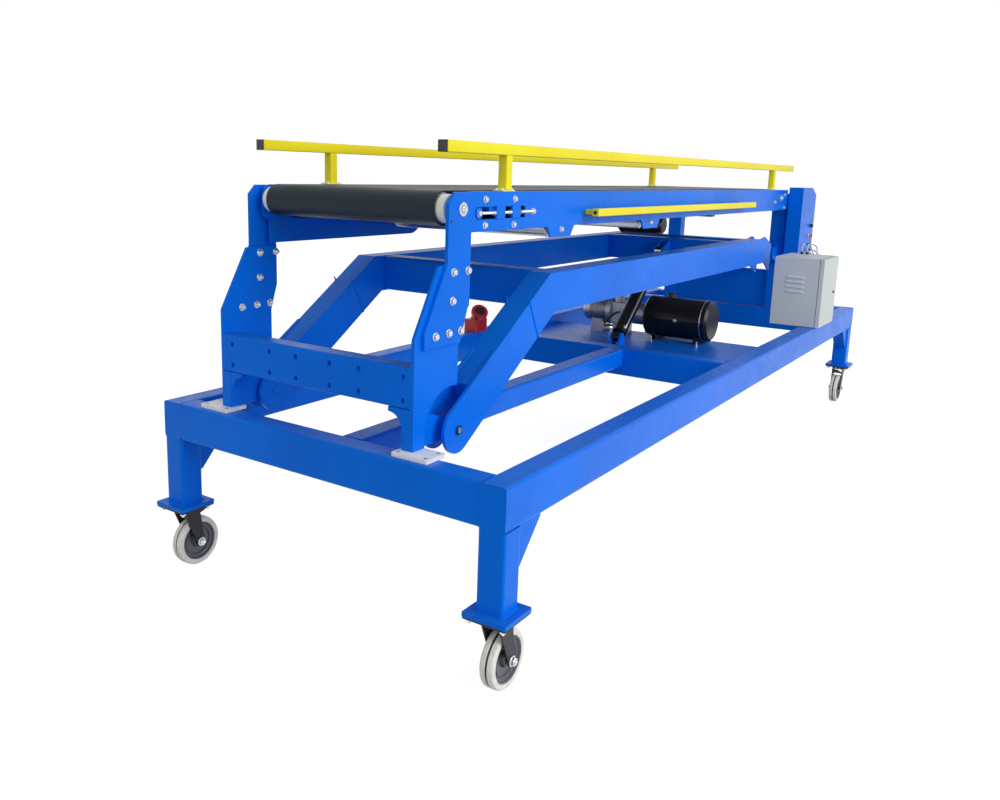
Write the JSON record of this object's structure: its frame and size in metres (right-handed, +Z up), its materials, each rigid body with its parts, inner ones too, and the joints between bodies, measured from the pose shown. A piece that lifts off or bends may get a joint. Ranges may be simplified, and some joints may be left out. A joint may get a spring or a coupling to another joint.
{
  "type": "mobile vehicle loading conveyor",
  "caption": "Castered steel trolley whose hydraulic lift linkage raises the front of a powered belt conveyor to a vehicle's load bed.",
  "frame": {"origin": "on the floor under the middle of the trolley's plan rectangle", "axes": "+X to the right of someone facing the machine's front end, +Y from the front end to the rear end along the belt, +Z up"},
  "size_m": [1.69, 5.085, 1.757],
  "materials": {
    "frame_paint": "gloss blue enamel over welded steel",
    "rail_paint": "gloss yellow enamel over steel tube",
    "black_paint": "satin black paint",
    "nylon": "milled white nylon",
    "tyre": "off-white non-marking tyre on a grey hub",
    "cabinet_grey": "light grey textured powder coat",
    "bare_aluminium": "cast aluminium",
    "roller_steel": "turned steel with off-white end rings",
    "chrome": "hard chromed rod",
    "belt_rubber": "satin dark blue-black belting",
    "red_plastic": "moulded red plastic"
  },
  "bodies": {
    "root": {"base_beam_end": "frame_paint", "base_beam_front": "frame_paint", "base_beam_mid": "frame_paint", "base_beam_rear": "frame_paint", "base_rail_inner": "frame_paint", "base_rail_left": "frame_paint", "base_rail_right": "frame_paint", "leg_front_left": "frame_paint", "leg_front_right": "frame_paint", "leg_rear_left": "frame_paint", "leg_rear_right": "frame_paint", "rear_post_left": "frame_paint", "rear_post_right": "frame_paint", "stop_pad_left": "nylon", "stop_pad_right": "nylon", "power_tray": "frame_paint", "hydraulic_tank": "black_paint", "valve_block": "bare_aluminium", "pump_motor": "bare_aluminium", "cabinet_body": "cabinet_grey", "control_column": "frame_paint", "power_inlet": "red_plastic"},
    "lift": {"lift_arm_left": "frame_paint", "lift_arm_right": "frame_paint", "lift_tube_knee": "frame_paint", "lift_tube_mid": "frame_paint", "lift_tube_rear": "frame_paint"},
    "head": {"head_beam": "frame_paint", "head_plate_left": "frame_paint", "head_plate_right": "frame_paint", "head_upright_left": "frame_paint", "head_upright_right": "frame_paint"},
    "conveyor": {"side_plate_left": "frame_paint", "side_plate_right": "frame_paint", "slider_bed": "frame_paint", "guide_rail_left": "rail_paint", "guide_rail_right": "rail_paint", "bump_bar_left": "rail_paint", "bump_bar_right": "rail_paint", "drive_motor": "black_paint", "belt_roller_front": "roller_steel", "belt_roller_rear": "roller_steel", "belt": "belt_rubber"},
    "cylinder_barrel": {"lift_cylinder": "black_paint"},
    "cylinder_rod": {"lift_rod": "chrome"},
    "door": {"cabinet_door": "cabinet_grey"},
    "swivel_front_left": {"caster_fork_front_left": "black_paint"},
    "wheel_front_left": {"caster_wheel_front_left": "tyre"},
    "swivel_front_right": {"caster_fork_front_right": "black_paint"},
    "wheel_front_right": {"caster_wheel_front_right": "tyre"},
    "swivel_rear_left": {"caster_fork_rear_left": "black_paint"},
    "wheel_rear_left": {"caster_wheel_rear_left": "tyre"},
    "swivel_rear_right": {"caster_fork_rear_right": "black_paint"},
    "wheel_rear_right": {"caster_wheel_rear_right": "tyre"}
  },
  "joints": [
    {"name": "lift_hinge", "type": "hinge", "parent": "root", "child": "lift", "pos_m": [-0.06, 1.91, 1.13], "axis": [-1, 0, 0], "range_deg": [0, 7]},
    {"name": "head_hinge", "type": "hinge", "parent": "lift", "child": "head", "pos_m": [-0.06, -2.235, 0.77], "axis": [-1, 0, 0], "range_deg": [-3.4, 0]},
    {"name": "conveyor_hinge", "type": "hinge", "parent": "root", "child": "conveyor", "pos_m": [-0.06, 1.91, 1.49], "axis": [-1, 0, 0], "range_deg": [0, 7.1]},
    {"name": "cylinder_hinge", "type": "hinge", "parent": "root", "child": "cylinder_barrel", "pos_m": [-0.06, 0.17, 0.705], "axis": [1, 0, 0], "range_deg": [0, 6.8]},
    {"name": "rod_slide", "type": "slide", "parent": "cylinder_barrel", "child": "cylinder_rod", "axis": [0, 0.7616, 0.648], "range_m": [0, 0.109]},
    {"name": "cabinet_door_hinge", "type": "hinge", "parent": "root", "child": "door", "pos_m": [0.83, 1.67, 0.72], "axis": [0, 0, 1], "range_deg": [0, 110]},
    {"name": "swivel_front_left", "type": "hinge", "parent": "root", "child": "swivel_front_left", "pos_m": [-0.7625, -2.46, 0.255], "axis": [0, 0, 1], "continuous": true},
    {"name": "wheel_front_left", "type": "hinge", "parent": "swivel_front_left", "child": "wheel_front_left", "pos_m": [-0.7625, -2.415, 0.1025], "axis": [1, 0, 0], "continuous": true},
    {"name": "swivel_front_right", "type": "hinge", "parent": "root", "child": "swivel_front_right", "pos_m": [0.7625, -2.46, 0.255], "axis": [0, 0, 1], "continuous": true},
    {"name": "wheel_front_right", "type": "hinge", "parent": "swivel_front_right", "child": "wheel_front_right", "pos_m": [0.7625, -2.415, 0.1025], "axis": [1, 0, 0], "continuous": true},
    {"name": "swivel_rear_left", "type": "hinge", "parent": "root", "child": "swivel_rear_left", "pos_m": [-0.7625, 2.46, 0.255], "axis": [0, 0, 1], "continuous": true},
    {"name": "wheel_rear_left", "type": "hinge", "parent": "swivel_rear_left", "child": "wheel_rear_left", "pos_m": [-0.7625, 2.415, 0.1025], "axis": [1, 0, 0], "continuous": true},
    {"name": "swivel_rear_right", "type": "hinge", "parent": "root", "child": "swivel_rear_right", "pos_m": [0.7625, 2.46, 0.255], "axis": [0, 0, 1], "continuous": true},
    {"name": "wheel_rear_right", "type": "hinge", "parent": "swivel_rear_right", "child": "wheel_rear_right", "pos_m": [0.7625, 2.415, 0.1025], "axis": [1, 0, 0], "continuous": true}
  ],
  "couplings": [
    {"joint": "head_hinge", "follows": "lift_hinge", "ratio": -0.4722},
    {"joint": "conveyor_hinge", "follows": "lift_hinge", "ratio": 1.0053},
    {"joint": "cylinder_hinge", "follows": "lift_hinge", "ratio": 0.96692},
    {"joint": "rod_slide", "follows": "lift_hinge", "m_per_rad": 0.88376}
  ]
}
